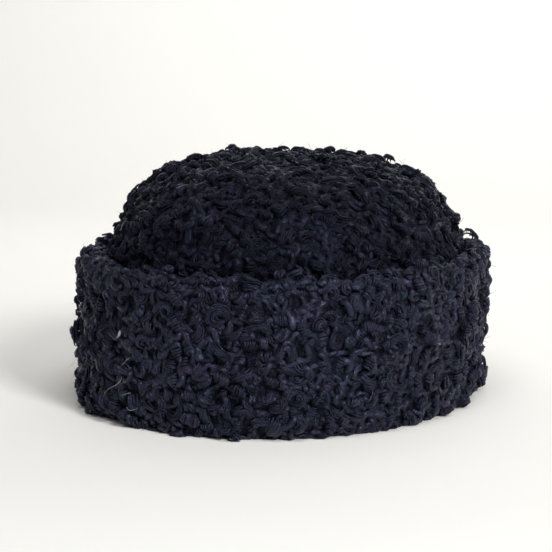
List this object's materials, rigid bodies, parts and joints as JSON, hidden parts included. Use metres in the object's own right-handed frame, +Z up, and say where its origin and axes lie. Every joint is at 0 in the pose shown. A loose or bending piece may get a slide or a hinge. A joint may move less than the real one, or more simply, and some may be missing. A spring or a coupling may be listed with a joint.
{
  "type": "karakul hat",
  "caption": "Oval fur hat of black curled lambskin: a low domed crown inside a tall turned-up cuff, open underneath for the head.",
  "frame": {"origin": "middle of the hat's outline, on the surface that its hem rests on", "axes": "+Z up out of the crown's top, -Y to the hat's front, +X to the wearer's left"},
  "size_m": [0.2134, 0.253, 0.124],
  "materials": {
    "crown_pelt": "black karakul lambskin with tight glossy curls, faintly blue in the light, plain suede inside",
    "cuff_pelt": "black karakul lambskin with tight glossy curls, faintly blue in the light"
  },
  "bodies": {
    "root": {"crown": "crown_pelt", "cuff": "cuff_pelt"}
  },
  "joints": []
}
